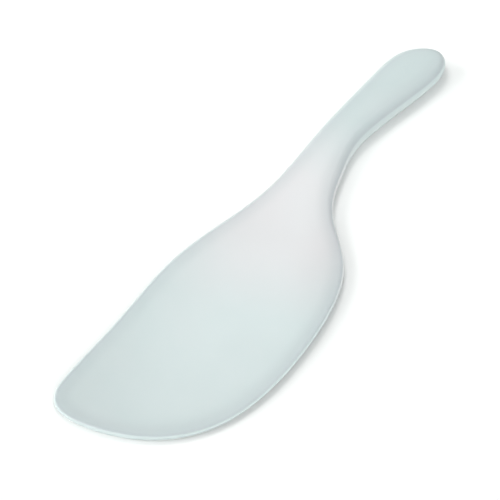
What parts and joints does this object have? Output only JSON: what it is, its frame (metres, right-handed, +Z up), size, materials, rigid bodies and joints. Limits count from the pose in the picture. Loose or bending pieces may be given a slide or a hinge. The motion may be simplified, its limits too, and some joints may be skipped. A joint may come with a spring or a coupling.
{
  "type": "bench scraper",
  "caption": "Paddle-shaped one-piece plastic scraper: broad blade with one straight and one curved edge, both faces slightly crowned, thickening smoothly into a rounded grip.",
  "frame": {"origin": "middle of the bottom of the bounding box, on the bench that the scraper lies on", "axes": "+X from the tip of the blade to the butt of the handle, +Y towards the straight scraping edge, +Z up out of the crowned face"},
  "size_m": [0.3434, 0.1014, 0.0154],
  "materials": {
    "white_plastic": "satin moulded white plastic with a faint cool tint, slightly translucent at its thin edges"
  },
  "bodies": {
    "root": {"paddle_scraper": "white_plastic"}
  },
  "joints": []
}
